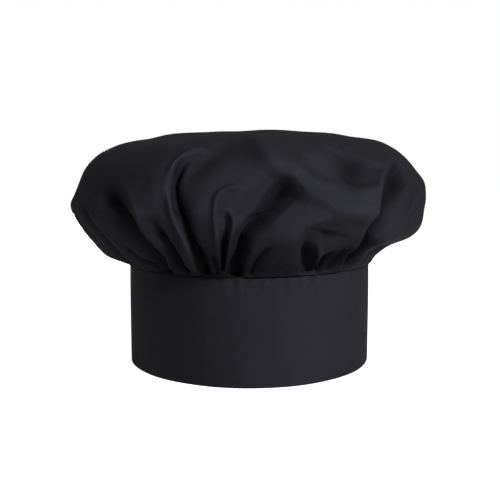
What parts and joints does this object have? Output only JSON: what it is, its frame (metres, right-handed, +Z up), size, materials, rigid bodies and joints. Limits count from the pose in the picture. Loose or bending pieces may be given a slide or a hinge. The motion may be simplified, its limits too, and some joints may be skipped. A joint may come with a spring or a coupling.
{
  "type": "chef toque",
  "caption": "Black chef toque: tall smooth band under a wide, low, puffed crown gathered at the seam, with a hook-and-loop size tab at the back.",
  "frame": {"origin": "centre of the head opening, on the plane that the band's lower edge stands on", "axes": "+Z up through the crown, -Y towards the wearer's front, +Y towards the closure at the back"},
  "size_m": [0.284, 0.284, 0.183],
  "materials": {
    "twill": "matte",
    "thread": "satin",
    "interfacing": "matte",
    "loop_tape": "matte",
    "hook_tape": "satin",
    "label": "satin"
  },
  "bodies": {
    "hat": {"crown": "twill", "gathering_threads": "thread", "crown_edge_overlock": "thread", "band_shell": "twill", "band_interfacing": "interfacing", "band_edge_stitching": "thread", "loop_tape_upper": "loop_tape", "loop_tape_lower": "loop_tape", "loop_tape_stitching": "thread", "tab_root_stitching": "thread", "tab_bartacks": "thread", "care_label": "label", "care_label_stitching": "thread"},
    "closure_tab": {"tab_shell": "twill", "tab_facing": "twill", "tab_interfacing": "interfacing", "tab_edge_stitching": "thread", "hook_tape_upper": "hook_tape", "hook_tape_lower": "hook_tape", "hook_tape_stitching": "thread"}
  },
  "joints": [
    {"name": "closure_peel", "type": "hinge", "parent": "hat", "child": "closure_tab", "pos_m": [-0.03662, 0.0923, 0.04], "axis": [0, 0, 1], "range_deg": [0, 120]}
  ]
}
